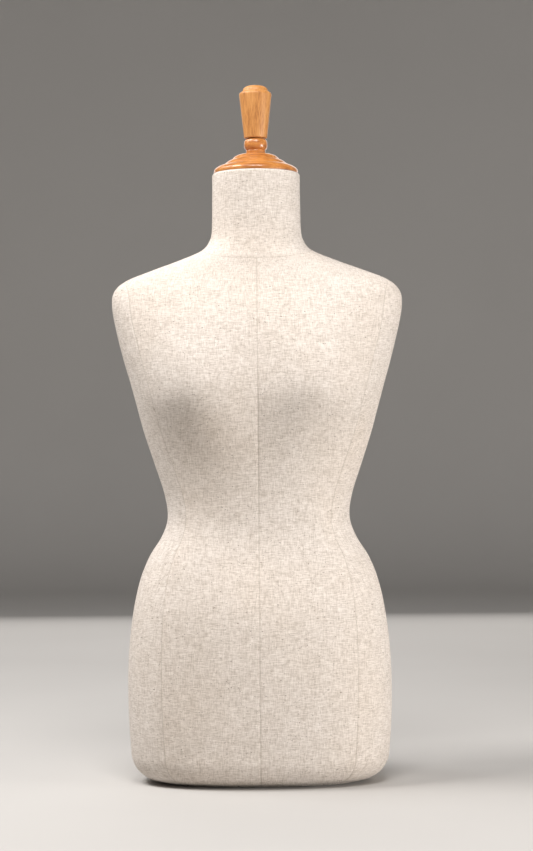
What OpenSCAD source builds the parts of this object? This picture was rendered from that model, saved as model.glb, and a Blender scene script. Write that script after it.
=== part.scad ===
// Dress form: a linen-covered female torso closed by a turned wooden neck cap and finial.
// Frame: millimetres, +Z up, the front of the form faces -Y, its left side is +X.
// The origin is on the resting plane, on the axis of the pole socket.

/* [Torso] */
// Half width of the torso at the hips
hip_half = 170.5; // [160:0.5:185]
// Half width of the torso at the waist
waist_half = 118; // [105:1:130]
// Half width of the torso at the shoulder tips
shoulder_half = 188; // [175:1:200]
// Radius of the neck
neck_r = 57; // [50:1:62]
// How far each side of the bust stands out of the chest
bust_lift = 28.5; // [15:0.5:35]
// How far each side of the seat stands out of the back
seat_lift = 5; // [0:1:12]
// Radius of the rounded lower edge
lower_edge_r = 38; // [25:1:42]

/* [Cover and shell] */
// Thickness of the linen and its lining
linen_t = 1; // [0.5:0.1:1.5]
// Thickness of the papier-mache shell
shell_t = 5; // [4:0.5:7]
// Thickness of the paper strips that join the two shell halves inside
strip_t = 1.5; // [1:0.5:3]
// Width of the linen turned under at the bottom
hem_w = 12; // [8:1:13]
// Thickness of the card base cover
cover_t = 1.8; // [1.2:0.1:2]

/* [Finial and neck cap] */
// Radius of the neck cap's brim
brim_r = 54.5; // [50:0.5:56]
// Height of the neck cap
cap_h = 25.5; // [22:0.5:30]
// Height of the bead with its collar and spigot
bead_h = 20.3; // [19:0.1:26]
// Largest radius of the bead
bead_r = 15.2; // [13:0.1:17]
// Height of the grip up to its ledge
grip_h = 57; // [45:1:70]
// Radius of the grip at its foot
grip_foot_r = 15; // [13:0.5:16]
// Radius of the grip at its ledge
grip_top_r = 21; // [18:0.5:24]
// Radius of the threaded stud
stud_r = 4; // [3:0.5:5]
// Depth of thread that holds the stud in the neck
thread_h = 15; // [10:1:20]

/* [Base and pole socket] */
// Thickness of the plywood base board
board_t = 17; // [15:1:20]
// Inner radius of the pole socket
pole_bore_r = 12.75; // [11:0.25:14]
// Wall of the pole socket's tube
socket_wall = 2.25; // [2:0.25:3]
// Length of the pole socket's bore
socket_h = 120; // [90:5:150]
// Radius of the socket's flange
flange_r = 36; // [35:0.5:37]
// Thickness of the socket's flange
flange_t = 3; // [3:0.5:4]

/* [Hidden] */

linen_colour = [0.87, 0.82, 0.76];
shell_colour = [0.62, 0.52, 0.40];
paper_colour = [0.74, 0.66, 0.52];
grip_colour = [0.82, 0.58, 0.33];
cap_colour = [0.80, 0.47, 0.20];
plywood_colour = [0.80, 0.68, 0.50];
steel_colour = [0.62, 0.63, 0.65];
brass_colour = [0.78, 0.62, 0.32];

// Resting plane up to the linen that is turned under.
hem_z = cover_t + 0.7;
round_faces = 96;
small_faces = 48;
gap = 0.3;

// Stations up the torso: height, half width, depth to the front, depth to the back,
// squareness of the section (2 is an ellipse), half angle of the side panel in degrees.
STATIONS = [
    [hem_z + lower_edge_r, hip_half - 3.5, 100, 112, 2.35, 47],
    [75, hip_half - 1, 104, 118.5, 2.35, 47],
    [125, hip_half, 107, 122, 2.3, 46],
    [175, hip_half - 2, 108.5, 118.5, 2.25, 45],
    [220, hip_half - 7.5, 106.5, 109.5, 2.2, 43.5],
    [260, hip_half - 16.5, 98, 100, 2.15, 42],
    [290, waist_half + 24, 88.5, 92, 2.1, 41],
    [315, waist_half + 8.5, 82, 86, 2.1, 40],
    [340, waist_half, 80, 83.5, 2.1, 39],
    [370, waist_half + 3.3, 81.5, 85, 2.1, 38],
    [410, waist_half + 16, 88, 91.5, 2.15, 36.5],
    [450, shoulder_half - 41, 98.5, 98, 2.2, 35],
    [500, shoulder_half - 27.5, 109, 106, 2.25, 34],
    [550, shoulder_half - 13.5, 106, 111, 2.35, 34],
    [590, shoulder_half - 4, 97, 110, 2.4, 33],
    [615, shoulder_half, 87, 104, 2.4, 33],
    [633, shoulder_half - 2.5, 78, 96, 2.35, 29],
    [647, shoulder_half - 17, 71, 88, 2.2, 16],
    [660, neck_r + 82, 66, 80, 2.1, 14],
    [673, neck_r + 46.5, 62.5, 73, 2.05, 20],
    [686, neck_r + 15.5, 59.5, 66, 2, 24],
    [699, neck_r + 4, 57.8, 60, 2, 30],
    [715, neck_r + 0.6, neck_r, neck_r + 0.8, 2, 36],
    [745, neck_r, neck_r, neck_r, 2, 40],
    [783, neck_r, neck_r, neck_r, 2, 40]
];
last_station = len(STATIONS) - 1;
arm_top_station = 17;
neck_seam_station = 20;
neck_edge_r = 4;
neck_top_z = STATIONS[last_station][0] + neck_edge_r;

// The insets of the flat lower rings: the end of the hem and the lip of the shell.
lip_inset = lower_edge_r + 12;
hem_inset = lip_inset + hem_w;
top_hem_inset = 13;

// Columns around the torso, counted from the centre front through the left side (+X).
COLUMNS = 40;
SIDE = 10;
SEAM = 4;
BACK = 20;

// ---- The torso surface ----

function spline(a, b, c, d, t) =
    0.5 * (2 * b + (c - a) * t + (2 * a - 5 * b + 4 * c - d) * t * t
    + (3 * b - a - 3 * c + d) * t * t * t);

function station(s) =
    let (k = min(floor(s), last_station - 1))
    spline(
        STATIONS[max(k - 1, 0)], STATIONS[k], STATIONS[k + 1],
        STATIONS[min(k + 2, last_station)], s - k);

// The angle of a column. The columns crowd together so that two of them follow the side seams.
function column_angle(j, seam) = lookup(j, [
    [0, -90], [SIDE - SEAM, -seam], [SIDE, 0], [SIDE + SEAM, seam],
    [BACK, 90], [3 * SIDE - SEAM, 180 - seam], [3 * SIDE, 180],
    [3 * SIDE + SEAM, 180 + seam], [COLUMNS, 270]
]);

function power(c, squareness) = sign(c) * pow(abs(c), 2 / squareness);

function bell(x, width) = exp(-x * x / (width * width));

// Bust and seat: two soft rises on the front and two on the back. Below its fullest
// height the bust runs out slowly at the centre and quickly at the sides.
bust_z = 499;
function bust(x, z) =
    let (reach = z > bust_z ? 80 : 36 + 42 * bell(x, 80))
    bust_lift * bell(abs(x) - 94, 63) * bell(z - bust_z, reach);
function seat(x, z) =
    seat_lift * bell(abs(x) - 74, 55) * bell(z - 130, 60);

function outline(st, inset, angle) = [
    (st[1] - inset) * power(cos(angle), st[4]),
    ((sin(angle) < 0 ? st[2] : st[3]) - inset) * power(sin(angle), st[4])
];

function fade(distance, reach) = max(0, 1 - abs(distance) / reach);

// The neck seam dips at the front, and the armhole seam arches over the shoulder tip:
// the rings near them are drawn down and up there.
function ring_shift(s, angle, seam) =
    let (across = asin(abs(sin(angle))) / seam)
    0.4 * max(0, 1 - across * across) * fade(s - arm_top_station, 2)
    - 1.1 * pow(max(-sin(angle), 0), 2) * fade(s - neck_seam_station, 4);

// A ring is [station, inset, rise above the station].
function surface_point(ring, j) =
    let (
        seam = station(ring[0])[5],
        angle = column_angle(j, seam),
        st = station(ring[0] + ring_shift(ring[0], angle, seam)),
        p = outline(st, ring[1], angle),
        z = st[0] + ring[2],
        lift = sin(angle) < 0 ? -bust(p[0], z) : seat(p[0], z)
    )
    [p[0], p[1] + lift * pow(abs(sin(angle)), 0.7), z];

arc_steps = 5;
wide_gap = 35;
wall_stations = [
    for (k = [1 : last_station])
        each (STATIONS[k][0] - STATIONS[k - 1][0] > wide_gap ? [k - 0.5, k] : [k])
];
RINGS = concat(
    [for (inset = [hem_inset, lip_inset]) [0, inset, -lower_edge_r]],
    [
        for (k = [0 : arc_steps])
            let (a = 90 * k / arc_steps)
            [0, lower_edge_r * (1 - sin(a)), -lower_edge_r * cos(a)]
    ],
    [for (s = wall_stations) [s, 0, 0]],
    [for (a = [30, 60, 90]) [last_station, neck_edge_r * (1 - cos(a)), neck_edge_r * sin(a)]],
    [[last_station, top_hem_inset, neck_edge_r]]
);
GRID = [for (ring = RINGS) [for (j = [0 : COLUMNS - 1]) surface_point(ring, j)]];
last_ring = len(RINGS) - 1;
first_wall_ring = 2 + arc_steps;

// The ring at a station, and the number of rings below a height.
function ring_of(s) = [for (i = [first_wall_ring : last_ring]) if (RINGS[i][0] == s) i][0];
arm_top = ring_of(arm_top_station);
neck_seam = ring_of(neck_seam_station);
shell_top = ring_of(last_station);

function grid_normal(i, j) =
    let (
        up = GRID[min(i + 1, last_ring)][j] - GRID[max(i - 1, 0)][j],
        along = GRID[i][(j + 1) % COLUMNS] - GRID[i][(j + COLUMNS - 1) % COLUMNS],
        n = cross(along, up)
    )
    n / norm(n);
NORMALS = [for (i = [0 : last_ring]) [for (j = [0 : COLUMNS - 1]) grid_normal(i, j)]];

// Points of the grid, moved in from the outer surface by a depth.
function layer(depth) = [
    for (i = [0 : last_ring]) for (j = [0 : COLUMNS - 1]) GRID[i][j] - depth * NORMALS[i][j]
];

// A skin of the torso between two depths, over the cells that holds(i, j) accepts.
module skin(outer_depth, inner_depth, holds) {
    under = (last_ring + 1) * COLUMNS;
    cells = [
        for (i = [0 : last_ring - 1]) for (j = [0 : COLUMNS - 1]) if (holds(i, j)) [i, j]
    ];
    function at(i, j) = i * COLUMNS + (j + COLUMNS) % COLUMNS;
    function has(i, j) =
        i >= 0 && i < last_ring && holds(i, (j + COLUMNS) % COLUMNS);
    faces = [
        for (cell = cells)
            let (
                i = cell[0],
                j = cell[1],
                a = at(i, j),
                b = at(i, j + 1),
                c = at(i + 1, j + 1),
                d = at(i + 1, j)
            )
            each concat(
                [[a, d, c], [a, c, b]],
                [[a + under, c + under, d + under], [a + under, b + under, c + under]],
                has(i - 1, j) ? [] : [[a, b, b + under], [a, b + under, a + under]],
                has(i + 1, j) ? [] : [[c, d, c + under], [d, d + under, c + under]],
                has(i, j - 1) ? [] : [[d, a, d + under], [a, a + under, d + under]],
                has(i, j + 1) ? [] : [[b, c, c + under], [b, c + under, b + under]]
            )
    ];
    polyhedron(points = concat(layer(outer_depth), layer(inner_depth)), faces = faces);
}

// Whether column j is on the left side (+X), or in the front half.
function is_left(j) = j < BACK;
function is_front(j) = j < SIDE || j >= 3 * SIDE;
function is_side(i, j) =
    let (k = j % BACK)
    i < arm_top && k >= SIDE - SEAM && k < SIDE + SEAM;

// ---- Shell ----

module shell_half(front) {
    color(shell_colour)
        skin(linen_t, linen_t + shell_t, function (i, j)
            i >= 1 && i < shell_top && is_front(j) == front);
}

module shell_front() { shell_half(true); }

module shell_back() { shell_half(false); }

module joint_strip(centre) {
    first = first_wall_ring + 1;
    last = ring_of(14);
    color(paper_colour)
        skin(linen_t + shell_t, linen_t + shell_t + strip_t, function (i, j)
            i >= first && i < last && abs(j + 0.5 - centre) < 2);
}

module joint_strip_left() { joint_strip(SIDE); }

module joint_strip_right() { joint_strip(3 * SIDE); }

// ---- Linen ----

module linen(holds) {
    color(linen_colour)
        skin(0, linen_t, holds);
}

module body_panel(left, front) {
    linen(function (i, j)
        i < neck_seam && is_left(j) == left && is_front(j) == front && !is_side(i, j));
}

module front_panel_left() { body_panel(true, true); }

module front_panel_right() { body_panel(false, true); }

module back_panel_left() { body_panel(true, false); }

module back_panel_right() { body_panel(false, false); }

module side_panel(left) {
    linen(function (i, j) is_left(j) == left && is_side(i, j));
}

module side_panel_left() { side_panel(true); }

module side_panel_right() { side_panel(false); }

module neck_cover() {
    linen(function (i, j) i >= neck_seam);
}

// ---- Staples ----

staple_w = 11;
staple_wire = 0.7;
staple_leg = 6;

// A staple whose crown lies on the XY plane's upper side, with its legs going down.
module staple() {
    translate([-staple_w / 2, -staple_wire / 2, 0])
        cube([staple_w, staple_wire, staple_wire]);
    for (side = [-1, 1])
        translate([side * (staple_w - staple_wire) / 2 - staple_wire / 2, -staple_wire / 2, -staple_leg])
            cube([staple_wire, staple_wire, staple_leg]);
}

// ---- Neck ----

block_h = 26;
block_gap = 0.5;
insert_r = 6;
fit_gap = 0.05;
shell_rim_z = STATIONS[last_station][0];
block_top_z = neck_top_z - linen_t - gap;

// A plywood plug: a spigot inside the shell and a rounded flange over the shell's rim.
module neck_block() {
    spigot_r = neck_r - linen_t - shell_t - block_gap;
    edge_r = block_top_z - shell_rim_z - gap;
    flange = neck_r - linen_t - block_gap;
    profile = concat(
        [[0, shell_rim_z - block_h], [spigot_r, shell_rim_z - block_h]],
        [[spigot_r, shell_rim_z + gap], [flange, shell_rim_z + gap]],
        [for (a = [15 : 15 : 90]) [flange - edge_r * (1 - cos(a)), shell_rim_z + gap + edge_r * sin(a)]],
        [[0, block_top_z]]
    );
    color(plywood_colour)
        difference() {
            rotate_extrude($fn = round_faces) polygon(profile);
            translate([0, 0, block_top_z - thread_h])
                cylinder(r = insert_r, h = thread_h + 1, $fn = small_faces);
            translate([0, 0, shell_rim_z - block_h - 1])
                cylinder(r = stud_r + 1, h = block_h, $fn = small_faces);
        }
}

// The brass insert that the stud screws into.
module stud_insert() {
    color(brass_colour)
        translate([0, 0, block_top_z - thread_h])
            difference() {
                cylinder(r = insert_r, h = thread_h, $fn = small_faces);
                translate([0, 0, -1])
                    cylinder(r = stud_r + fit_gap, h = thread_h + 2, $fn = small_faces);
            }
}

neck_staple_count = 10;

module neck_staples() {
    color(steel_colour)
        for (k = [0 : neck_staple_count - 1])
            rotate(360 * (k + 0.5) / neck_staple_count)
                translate([0, -(neck_r - top_hem_inset + 3), neck_top_z])
                    staple();
}

// ---- Base ----

board_z = hem_z + linen_t + 0.2;
rabbet_z = hem_z + linen_t + shell_t + 0.1;
socket_screw_count = 4;
socket_screw_pcd = 58;
screw_r = 2;
screw_head_r = 4.5;
screw_h = 15;
tack_count = 8;
tack_inset = hem_inset + 5;
cover_opening_r = flange_r - 2;
tack_r = 1.1;
tack_head_r = 4;
tack_head_t = 1;
tack_h = 12;
hem_staple_count = 24;
staple_inset = lip_inset + 4;

// The outline of the torso's foot, moved in by an inset.
function foot(inset) =
    [for (j = [0 : COLUMNS - 1]) outline(STATIONS[0], inset, column_angle(j, STATIONS[0][5]))];

module at_socket_screws() {
    for (k = [0 : socket_screw_count - 1])
        rotate(360 * (k + 0.5) / socket_screw_count)
            translate([socket_screw_pcd / 2, 0, board_z])
                children();
}

module socket_screw() {
    cylinder(r1 = screw_head_r, r2 = screw_r, h = flange_t, $fn = small_faces);
    cylinder(r = screw_r, h = screw_h, $fn = small_faces);
}

module at_cover_tacks() {
    for (k = [0 : tack_count - 1]) {
        p = outline(STATIONS[0], tack_inset, 360 * (k + 0.5) / tack_count);
        translate([p[0], p[1], 0])
            children();
    }
}

module cover_tack() {
    cylinder(r = tack_head_r, h = tack_head_t, $fn = small_faces);
    cylinder(r = tack_r, h = tack_h, $fn = small_faces);
}

// Plywood: the lower part fills the shell's opening, the upper part rests on the shell's lip.
module base_board() {
    color(plywood_colour)
        difference() {
            union() {
                translate([0, 0, board_z])
                    linear_extrude(board_t)
                        polygon(foot(lip_inset + block_gap));
                translate([0, 0, rabbet_z])
                    linear_extrude(board_z + board_t - rabbet_z)
                        polygon(foot(lower_edge_r + 2));
            }
            translate([0, 0, board_z - 1])
                cylinder(r = flange_r + gap, h = flange_t + 1, $fn = round_faces);
            translate([0, 0, board_z - 1])
                cylinder(r = pole_bore_r + socket_wall + gap, h = board_t + 2, $fn = round_faces);
            at_socket_screws() cylinder(r = screw_r, h = screw_h, $fn = small_faces);
            at_cover_tacks() cylinder(r = tack_r, h = tack_h, $fn = small_faces);
        }
}

// Steel: a flange let into the board's underside, with a tube for the stand's pole.
module pole_socket() {
    color(steel_colour)
        difference() {
            translate([0, 0, board_z]) {
                cylinder(r = flange_r, h = flange_t, $fn = round_faces);
                cylinder(r = pole_bore_r + socket_wall, h = socket_h, $fn = round_faces);
            }
            translate([0, 0, board_z - 1])
                cylinder(r = pole_bore_r, h = socket_h + 2, $fn = round_faces);
            at_socket_screws() socket_screw();
        }
}

module socket_screws() {
    color(steel_colour)
        at_socket_screws() socket_screw();
}

// The staples stand in the gap between the hem and the base cover.
module hem_staples() {
    color(steel_colour)
        for (k = [0 : hem_staple_count - 1]) {
            angle = 360 * (k + 0.5) / hem_staple_count;
            p = outline(STATIONS[0], staple_inset, angle);
            along = outline(STATIONS[0], staple_inset, angle + 2) - p;
            translate([p[0], p[1], hem_z])
                rotate([180, 0, atan2(along[1], along[0])])
                    staple();
        }
}

// Card: covers the staples and the ends of the hem, and is what the form stands on.
module base_cover() {
    color(linen_colour)
        difference() {
            linear_extrude(cover_t)
                polygon(foot(lower_edge_r + 5));
            translate([0, 0, -1])
                cylinder(r = cover_opening_r, h = cover_t + 2, $fn = round_faces);
            at_cover_tacks() translate([0, 0, -1]) {
                cylinder(r = tack_head_r, h = tack_head_t + 1, $fn = small_faces);
                cylinder(r = tack_r, h = cover_t + 2, $fn = small_faces);
            }
        }
}

module cover_tacks() {
    color(brass_colour)
        at_cover_tacks() cover_tack();
}

// ---- Neck cap and finial ----

cap_bore_r = stud_r + 0.5;
bead_z = neck_top_z + cap_h;
grip_z = bead_z + bead_h;
stud_in_grip = 38;

// A quadratic curve from a to c that leans towards b, without its first point.
function bend(a, b, c, steps = 6) = [
    for (k = [1 : steps])
        let (t = k / steps)
        (1 - t) * (1 - t) * a + 2 * t * (1 - t) * b + t * t * c
];

// Turned plate: a brim, a cove, a shoulder and a domed top, hollow underneath.
module neck_cap() {
    recess_r = brim_r - 4.5;
    recess_h = 2.5;
    brim_top = [brim_r - 0.4, 4.2];
    brim_end = [brim_r - 14, 11.6];
    shoulder_foot = [brim_r - 15.2, 13.2];
    shoulder_top = [brim_r - 23.5, 18];
    dome_foot = [brim_r - 25.2, 20.2];
    dome_top = [13, cap_h];
    profile = concat(
        [[0, recess_h], [recess_r, recess_h], [recess_r, 0], [brim_r - 0.6, 0]],
        [[brim_r, 0.6], [brim_r, 2.8], brim_top],
        bend(brim_top, [brim_r - 3, 8.8], brim_end),
        [shoulder_foot],
        bend(shoulder_foot, [brim_r - 18.5, 16.4], shoulder_top),
        [dome_foot],
        bend(dome_foot, [brim_r - 29.5, cap_h - 0.6], dome_top),
        [[0, cap_h]]
    );
    color(cap_colour)
        translate([0, 0, neck_top_z])
            difference() {
                rotate_extrude($fn = round_faces) polygon(profile);
                translate([0, 0, -1])
                    cylinder(r = cap_bore_r, h = cap_h + 2, $fn = small_faces);
            }
}

// Turned bead: a collar, a groove, the bead and a narrow spigot under the grip.
module finial_bead() {
    collar_r = bead_r - 2.6;
    collar_top = [collar_r, 3.2];
    groove = [bead_r - 3.2, 4.8];
    belly = [bead_r, 11.5];
    shoulder = [bead_r - 3.8, 19.2];
    spigot_r = bead_r - 4.7;
    profile = concat(
        [[0, 0], [collar_r - 0.4, 0], [collar_r, 0.4], collar_top],
        bend(collar_top, [collar_r, 4.2], groove, 3),
        bend(groove, [bead_r, 6.5], belly),
        bend(belly, [bead_r, 18.4], shoulder),
        [[spigot_r, shoulder[1]], [spigot_r, bead_h], [0, bead_h]]
    );
    color(cap_colour)
        translate([0, 0, bead_z])
            difference() {
                rotate_extrude($fn = round_faces) polygon(profile);
                translate([0, 0, -1])
                    cylinder(r = stud_r, h = bead_h + 2, $fn = small_faces);
            }
}

// Turned grip: a straight taper, wider at the top, with a ledge and a low domed button.
module finial_grip() {
    button_r = grip_top_r - 4.6;
    button_foot = [button_r, grip_h + 5];
    ledge = [grip_top_r, grip_h - 0.8];
    ledge_end = [grip_top_r - 1, grip_h + 2.2];
    profile = concat(
        [[0, 0], [grip_foot_r - 0.8, 0], [grip_foot_r, 0.8], ledge],
        bend(ledge, [grip_top_r, grip_h + 1], ledge_end, 3),
        [[button_r + 0.6, grip_h + 4.2], button_foot],
        bend(button_foot, [button_r - 0.5, grip_h + 12], [0, grip_h + 12], 8)
    );
    color(grip_colour)
        translate([0, 0, grip_z])
            difference() {
                rotate_extrude($fn = round_faces) polygon(profile);
                translate([0, 0, -1])
                    cylinder(r = stud_r, h = stud_in_grip + 1, $fn = small_faces);
            }
}

// Steel stud: glued into the grip and the bead, screwed into the neck's insert.
module finial_stud() {
    foot_z = block_top_z - thread_h;
    color(steel_colour)
        translate([0, 0, foot_z])
            cylinder(r = stud_r, h = grip_z + stud_in_grip - foot_z, $fn = small_faces);
}

shell_front();
shell_back();
joint_strip_left();
joint_strip_right();
front_panel_left();
front_panel_right();
side_panel_left();
side_panel_right();
back_panel_left();
back_panel_right();
neck_cover();
neck_block();
stud_insert();
neck_staples();
base_board();
pole_socket();
socket_screws();
hem_staples();
base_cover();
cover_tacks();
neck_cap();
finial_bead();
finial_grip();
finial_stud();
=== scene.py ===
import math

import bpy
import numpy as np
from mathutils import Matrix, Vector, kdtree, noise


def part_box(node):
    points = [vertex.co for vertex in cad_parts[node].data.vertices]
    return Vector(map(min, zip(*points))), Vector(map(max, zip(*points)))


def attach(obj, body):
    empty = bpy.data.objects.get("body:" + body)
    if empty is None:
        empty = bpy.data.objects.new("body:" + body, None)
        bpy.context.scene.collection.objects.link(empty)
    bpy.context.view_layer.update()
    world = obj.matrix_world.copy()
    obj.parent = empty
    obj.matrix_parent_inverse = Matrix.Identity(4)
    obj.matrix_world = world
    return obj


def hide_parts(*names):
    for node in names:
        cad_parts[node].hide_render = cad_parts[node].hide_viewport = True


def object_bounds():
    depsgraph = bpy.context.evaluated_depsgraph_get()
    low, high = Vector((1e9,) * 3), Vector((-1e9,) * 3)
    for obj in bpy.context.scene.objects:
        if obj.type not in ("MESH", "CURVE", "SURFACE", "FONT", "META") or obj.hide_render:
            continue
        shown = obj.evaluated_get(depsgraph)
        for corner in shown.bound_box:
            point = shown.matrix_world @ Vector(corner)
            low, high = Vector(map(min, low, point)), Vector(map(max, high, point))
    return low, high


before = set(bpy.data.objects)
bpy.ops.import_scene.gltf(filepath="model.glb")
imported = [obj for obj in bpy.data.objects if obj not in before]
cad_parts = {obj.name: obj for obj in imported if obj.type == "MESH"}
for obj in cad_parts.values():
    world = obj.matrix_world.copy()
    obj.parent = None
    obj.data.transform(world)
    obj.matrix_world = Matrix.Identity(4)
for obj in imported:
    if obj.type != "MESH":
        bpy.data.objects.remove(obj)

cad_low, cad_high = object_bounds()
MM = 0.001

# ---- Driving sizes: millimetres, and degrees for angles ----

HIP_HALF = 170.5
WAIST_HALF = 118
SHOULDER_HALF = cad_high.x / MM
NECK_R = 57
BUST_LIFT = 28.5
BUST_Z = 499
BUST_X, BUST_W = 94, 63
SEAT_LIFT = 5
SEAT_Z = 130
SEAT_X, SEAT_W = 74, 55
LIFT_POWER = 0.7
LOWER_EDGE_R = 38
LINEN_T = 1
SHELL_T = 5
STRIP_T = 1.5
CLOTH_GAP = 0.6
HEM_W = 12
COVER_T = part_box("base_cover")[1].z / MM
HEM_Z = COVER_T + 0.7

# Stations up the torso: height, half width, depth to the front, depth to the back,
# squareness of the section (2 is an ellipse), half angle of the side panel.
STATIONS = np.array([
    [HEM_Z + LOWER_EDGE_R, HIP_HALF - 3.5, 100, 112, 2.35, 47],
    [75, HIP_HALF - 1, 104, 118.5, 2.35, 47],
    [125, HIP_HALF, 107, 122, 2.3, 46],
    [175, HIP_HALF - 2, 108.5, 118.5, 2.25, 45],
    [220, HIP_HALF - 7.5, 106.5, 109.5, 2.2, 43.5],
    [260, HIP_HALF - 16.5, 98, 100, 2.15, 42],
    [290, WAIST_HALF + 24, 88.5, 92, 2.1, 41],
    [315, WAIST_HALF + 8.5, 82, 86, 2.1, 40],
    [340, WAIST_HALF, 80, 83.5, 2.1, 39],
    [370, WAIST_HALF + 3.3, 81.5, 85, 2.1, 38],
    [410, WAIST_HALF + 16, 88, 91.5, 2.15, 36.5],
    [450, SHOULDER_HALF - 41, 98.5, 98, 2.2, 35],
    [500, SHOULDER_HALF - 27.5, 109, 106, 2.25, 34],
    [550, SHOULDER_HALF - 13.5, 106, 111, 2.35, 34],
    [590, SHOULDER_HALF - 4, 97, 110, 2.4, 33],
    [615, SHOULDER_HALF, 87, 104, 2.4, 33],
    [633, SHOULDER_HALF - 2.5, 78, 96, 2.35, 29],
    [647, SHOULDER_HALF - 17, 71, 88, 2.2, 16],
    [660, NECK_R + 82, 66, 80, 2.1, 14],
    [673, NECK_R + 46.5, 62.5, 73, 2.05, 20],
    [686, NECK_R + 15.5, 59.5, 66, 2, 24],
    [699, NECK_R + 4, 57.8, 60, 2, 30],
    [715, NECK_R + 0.6, NECK_R, NECK_R + 0.8, 2, 36],
    [745, NECK_R, NECK_R, NECK_R, 2, 40],
    [783, NECK_R, NECK_R, NECK_R, 2, 40],
], float)
LAST_STATION = len(STATIONS) - 1
STRIP_FIRST_STATION = 1
STRIP_LAST_STATION = 14
ARM_TOP_STATION = 17
NECK_SEAM_STATION = 20
NECK_EDGE_R = 4

LIP_INSET = LOWER_EDGE_R + 12
HEM_INSET = LIP_INSET + HEM_W
TOP_HEM_INSET = 13

# Columns round the torso, counted from the centre front through the left side (+X).
COLUMNS = 40
SIDE = 10
SEAM = 4
BACK = 20


# ---- The torso surface, the same as the CAD model's ----

def spline(a, b, c, d, t):
    return 0.5 * (
        2 * b + (c - a) * t + (2 * a - 5 * b + 4 * c - d) * t ** 2
        + (3 * b - a - 3 * c + d) * t ** 3
    )


def station(s):
    """The station's six values at every s, on a new last axis."""
    k = np.minimum(np.floor(s), LAST_STATION - 1).astype(int)
    around = [STATIONS[np.clip(k + step, 0, LAST_STATION)] for step in (-1, 0, 1, 2)]
    return spline(*around, (s - k)[..., None])


def column_angle(j, seam):
    """The angle of a column: two columns follow the side seams, so the others crowd."""
    from_side = np.where(j > BACK, COLUMNS - j, j) - SIDE
    away = abs(from_side)
    outside = seam + (90 - seam) * (away - SEAM) / (SIDE - SEAM)
    angle = np.sign(from_side) * np.where(away <= SEAM, seam * away / SEAM, outside)
    return np.where(j > BACK, 180 - angle, angle)


def power(c, squareness):
    return np.sign(c) * abs(c) ** (2 / squareness)


def bell(x, width):
    return np.exp(-(x / width) ** 2)


def fade(distance, reach):
    return np.maximum(0, 1 - abs(distance) / reach)


def bust(x, z):
    """Below its fullest height it runs out slowly at the centre and quickly at the sides."""
    reach_above, reach_at_side, centre_extra, centre_w = 80, 36, 42, 80
    reach = np.where(z > BUST_Z, reach_above, reach_at_side + centre_extra * bell(x, centre_w))
    return BUST_LIFT * bell(abs(x) - BUST_X, BUST_W) * bell(z - BUST_Z, reach)


def seat(x, z):
    reach = 60
    return SEAT_LIFT * bell(abs(x) - SEAT_X, SEAT_W) * bell(z - SEAT_Z, reach)


def ring_shift(s, angle, seam):
    """How far the seams rise over the shoulder tips and dip at the front of the neck."""
    sine = np.sin(np.radians(angle))
    across = np.degrees(np.arcsin(abs(sine))) / seam
    arch_h, arch_reach, dip_h, dip_reach = 0.4, 2, 1.1, 4
    arch = arch_h * np.maximum(0, 1 - across ** 2) * fade(s - ARM_TOP_STATION, arch_reach)
    dip = dip_h * np.maximum(-sine, 0) ** 2 * fade(s - NECK_SEAM_STATION, dip_reach)
    return arch - dip


def surface(rows, columns):
    """Points (rows x columns x 3) of the torso. A row is (station, inset, rise)."""
    s, inset, rise = (rows[:, k:k + 1] for k in range(3))
    seam = station(s)[..., 5]
    angle = column_angle(columns[None, :] % COLUMNS, seam)
    st = station(s + ring_shift(s, angle, seam))
    cosine, sine = np.cos(np.radians(angle)), np.sin(np.radians(angle))
    depth = np.where(sine < 0, st[..., 2], st[..., 3])
    x = (st[..., 1] - inset) * power(cosine, st[..., 4])
    y = (depth - inset) * power(sine, st[..., 4])
    z = st[..., 0] + rise
    lift = np.where(sine < 0, -bust(x, z), seat(x, z)) * abs(sine) ** LIFT_POWER
    return np.stack([x, y + lift, z], axis=-1)


def grid(rows, columns):
    """Points and outward normals over rows x columns."""
    before, after = 2 * columns[0] - columns[1], 2 * columns[-1] - columns[-2]
    points = surface(rows, np.concatenate([[before], columns, [after]]))
    along = points[:, 2:] - points[:, :-2]
    points = points[:, 1:-1]
    normals = np.cross(along, np.gradient(points, axis=0))
    return points, normals / np.linalg.norm(normals, axis=-1, keepdims=True)


# ---- Rows and columns of the fine grids ----

def crowd(values, seams, offsets):
    """Grid lines at values, with finer ones on both sides of each seam."""
    apart = 1.5 * max(offsets)
    far = [v for v in values if min(abs(v - s) for s in seams) > apart]
    near = [s + side * o for s in seams for o in offsets for side in (-1, 1)]
    lines = np.unique(np.round(far + near + list(seams), 6))
    return lines[(lines >= min(values)) & (lines <= max(values))]


def wall_stations(first, last, spacing):
    """Station numbers whose heights are about a spacing apart."""
    lines = [first]
    for k in range(first, last):
        steps = math.ceil((STATIONS[k + 1][0] - STATIONS[k][0]) / spacing)
        lines += [k + n / steps for n in range(1, steps + 1)]
    return lines


def wall_rows(stations):
    return [[s, 0, 0] for s in stations]


def lower_edge_rows(steps):
    """The rounded lower edge, from underneath to the wall."""
    angles = np.radians(np.linspace(0, 90, steps + 1)[:-1])
    return [
        [0, LOWER_EDGE_R * (1 - math.sin(a)), -LOWER_EDGE_R * math.cos(a)] for a in angles
    ]


def flat_rows(first_inset, last_inset, steps):
    """Rows under the torso, from an inner inset out to the next rows."""
    insets = np.linspace(first_inset, last_inset, steps + 1)[:-1]
    return [[0, inset, -LOWER_EDGE_R] for inset in insets]


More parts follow.
